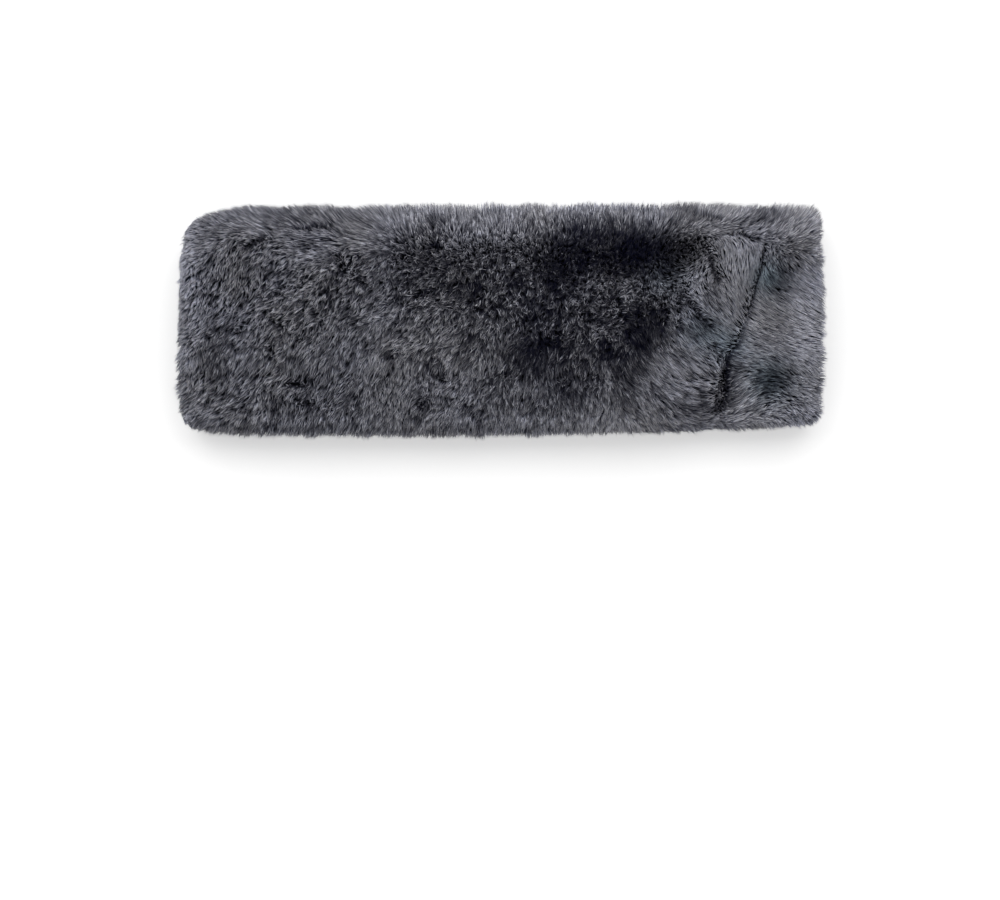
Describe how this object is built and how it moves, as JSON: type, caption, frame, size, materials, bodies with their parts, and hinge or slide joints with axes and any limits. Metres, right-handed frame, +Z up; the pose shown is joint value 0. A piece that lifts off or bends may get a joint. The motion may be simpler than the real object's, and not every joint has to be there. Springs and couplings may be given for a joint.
{
  "type": "sheepskin seat belt shoulder pad",
  "caption": "Rectangular woolled sheepskin pad folded lengthwise round a car seat belt and closed along one long edge with hook and loop tape.",
  "frame": {"origin": "on the surface that the pad lies on, under the middle of the pad", "axes": "+X along the belt and the pad's length, +Y from the taped long edges to the fold, +Z up, out of the front panel"},
  "size_m": [0.2794, 0.1002, 0.0351],
  "materials": {
    "fleece": "dyed sheepskin wool, charcoal grey, cut pile",
    "hook_tape": "woven nylon tape with moulded hooks, black",
    "loop_tape": "woven nylon tape with brushed loops, black"
  },
  "bodies": {
    "root": {"sheepskin": "fleece", "hook_tape": "hook_tape", "loop_tape": "loop_tape"}
  },
  "joints": []
}
